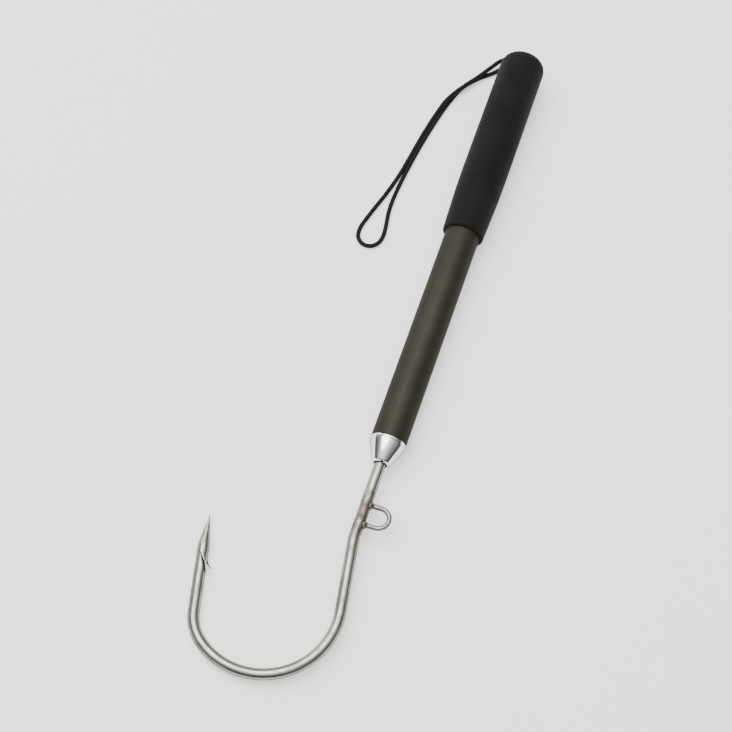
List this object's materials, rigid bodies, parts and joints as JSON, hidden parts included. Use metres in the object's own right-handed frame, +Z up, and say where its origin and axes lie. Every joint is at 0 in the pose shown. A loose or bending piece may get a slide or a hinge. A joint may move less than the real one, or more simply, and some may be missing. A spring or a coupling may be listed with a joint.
{
  "type": "telescopic fishing gaff",
  "caption": "Closed telescopic hand gaff: bent stainless hook with a sawn barb and a welded line eye, aluminium ferrule, anodised tube, foam grip and a wrist lanyard",
  "frame": {"origin": "on the surface that the gaff lies on, under the middle of its box, measured without the lanyard", "axes": "+Y from the hook to the butt, +Z up, +X to the side of the line eye; the hook's gape opens towards +Y and its point is on the -X side. The gaff lies on its grip, its ferrule's lip and the far side of its hook, so the shaft leans down towards the hook by 1.06 degrees about X, and the gaff is rolled by 4.06 degrees about the shaft"},
  "size_m": [0.102, 0.4643, 0.0307],
  "materials": {
    "grip_foam": "matte",
    "anodised_tube": "satin",
    "bare_tube": "satin",
    "polished_ferrule": "polished",
    "stainless": "satin",
    "weld_bead": "matte",
    "nylon": "satin",
    "acetal": "satin",
    "cord": "matte"
  },
  "bodies": {
    "handle": {"grip_sleeve": "grip_foam", "outer_tube": "anodised_tube", "butt_plug": "nylon", "outer_guide_bush": "nylon", "lanyard_knot": "cord", "lanyard_cord": "cord"},
    "middle_ring": {"middle_drag_ring": "acetal"},
    "middle_section": {"middle_tube": "bare_tube", "middle_rear_plug": "nylon", "middle_plug_pin": "stainless", "middle_guide_bush": "nylon"},
    "inner_ring": {"inner_drag_ring": "acetal"},
    "hook_section": {"inner_tube": "bare_tube", "inner_rear_plug": "nylon", "inner_plug_pin": "stainless", "ferrule": "polished_ferrule", "ferrule_pin": "stainless", "hook": "stainless", "hook_washer": "stainless", "hook_nut": "stainless", "line_eye": "stainless", "eye_weld_upper": "weld_bead", "eye_weld_lower": "weld_bead"}
  },
  "joints": [
    {"name": "middle_slide", "type": "slide", "parent": "handle", "child": "middle_ring", "axis": [0, -0.9998, -0.0185], "range_m": [0, 0.2192]},
    {"name": "middle_swivel", "type": "hinge", "parent": "middle_ring", "child": "middle_section", "pos_m": [0.0334, -0.06412, 0.01101], "axis": [0, 0.9998, 0.0185], "continuous": true},
    {"name": "inner_slide", "type": "slide", "parent": "middle_section", "child": "inner_ring", "axis": [0, -0.9998, -0.0185], "range_m": [0, 0.1909]},
    {"name": "inner_swivel", "type": "hinge", "parent": "inner_ring", "child": "hook_section", "pos_m": [0.0334, -0.06412, 0.01101], "axis": [0, 0.9998, 0.0185], "continuous": true}
  ]
}
